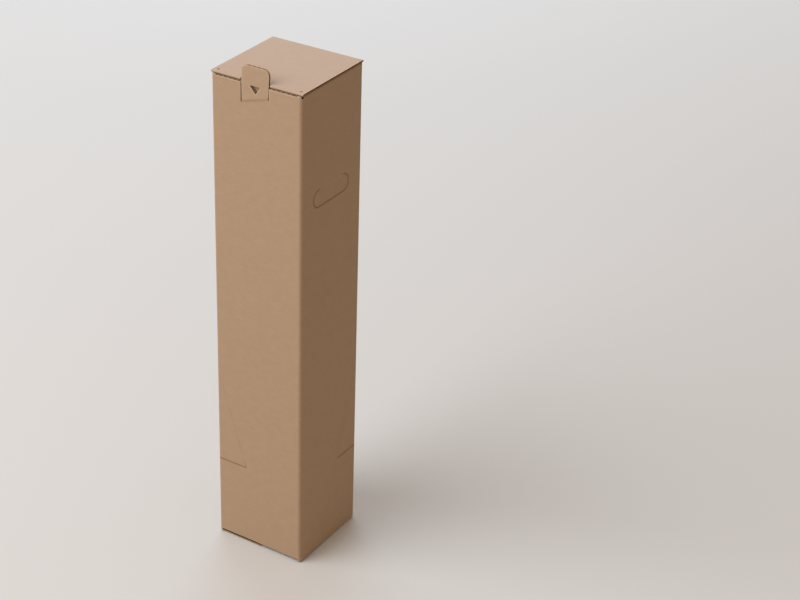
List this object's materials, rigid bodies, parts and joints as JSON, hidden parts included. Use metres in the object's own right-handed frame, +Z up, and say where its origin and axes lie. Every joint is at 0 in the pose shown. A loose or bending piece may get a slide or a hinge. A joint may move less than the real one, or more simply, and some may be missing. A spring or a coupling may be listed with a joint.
{
  "type": "corrugated gift carton",
  "caption": "Tall square carton of plain kraft corrugated board with a tuck-in lid, lock tab, push-in hand holes, press-in corners and a crash-lock bottom.",
  "frame": {"origin": "centre of the base, on the surface the carton stands on", "axes": "+Z up; -Y the front panel, which carries the lock tab; +X the right panel"},
  "size_m": [0.1216, 0.12, 0.6315],
  "materials": {
    "kraft_corrugated_board": "matte natural kraft liners over a fluted core"
  },
  "bodies": {
    "carton": {"bottom_flap_front": "kraft_corrugated_board", "bottom_flap_rear": "kraft_corrugated_board", "bottom_gusset_left": "kraft_corrugated_board", "bottom_gusset_right": "kraft_corrugated_board", "bottom_side_flap_left": "kraft_corrugated_board", "bottom_side_flap_right": "kraft_corrugated_board", "corner_facet_front": "kraft_corrugated_board", "corner_facet_left": "kraft_corrugated_board", "corner_facet_rear": "kraft_corrugated_board", "corner_facet_right": "kraft_corrugated_board", "front_panel": "kraft_corrugated_board", "glue_flap": "kraft_corrugated_board", "left_panel": "kraft_corrugated_board", "rear_panel": "kraft_corrugated_board", "right_panel": "kraft_corrugated_board"},
    "lid": {"lid_panel": "kraft_corrugated_board"},
    "tuck": {"tuck_flap": "kraft_corrugated_board"},
    "dust_left": {"dust_flap_left": "kraft_corrugated_board"},
    "dust_right": {"dust_flap_right": "kraft_corrugated_board"},
    "tab": {"lock_tab": "kraft_corrugated_board"},
    "handle_left": {"handle_flap_left": "kraft_corrugated_board"},
    "handle_right": {"handle_flap_right": "kraft_corrugated_board"}
  },
  "joints": [
    {"name": "lid_hinge", "type": "hinge", "parent": "carton", "child": "lid", "pos_m": [0, 0.05929, 0.61429], "axis": [-1, 0, 0], "range_deg": [0, 180]},
    {"name": "tuck_fold", "type": "hinge", "parent": "lid", "child": "tuck", "pos_m": [0, -0.0536, 0.61225], "axis": [1, 0, 0], "range_deg": [0, 45]},
    {"name": "dust_fold_left", "type": "hinge", "parent": "carton", "child": "dust_left", "pos_m": [-0.05929, 0, 0.61139], "axis": [0, -1, 0], "range_deg": [0, 90]},
    {"name": "dust_fold_right", "type": "hinge", "parent": "carton", "child": "dust_right", "pos_m": [0.05929, 0, 0.61139], "axis": [0, 1, 0], "range_deg": [0, 90]},
    {"name": "tab_fold", "type": "hinge", "parent": "carton", "child": "tab", "pos_m": [-0.0015, -0.06015, 0.59265], "axis": [0.9634, 0, 0.2682], "range_deg": [0, 150]},
    {"name": "handle_fold_left", "type": "hinge", "parent": "carton", "child": "handle_left", "pos_m": [-0.05725, 0, 0.48935], "axis": [0, -1, 0], "range_deg": [0, 170]},
    {"name": "handle_fold_right", "type": "hinge", "parent": "carton", "child": "handle_right", "pos_m": [0.05725, 0, 0.48935], "axis": [0, 1, 0], "range_deg": [0, 170]}
  ],
  "couplings": [
    {"joint": "tuck_fold", "follows": "lid_hinge", "ratio": 0.25},
    {"joint": "dust_fold_left", "follows": "lid_hinge", "ratio": 0.5},
    {"joint": "dust_fold_right", "follows": "lid_hinge", "ratio": 0.5}
  ]
}
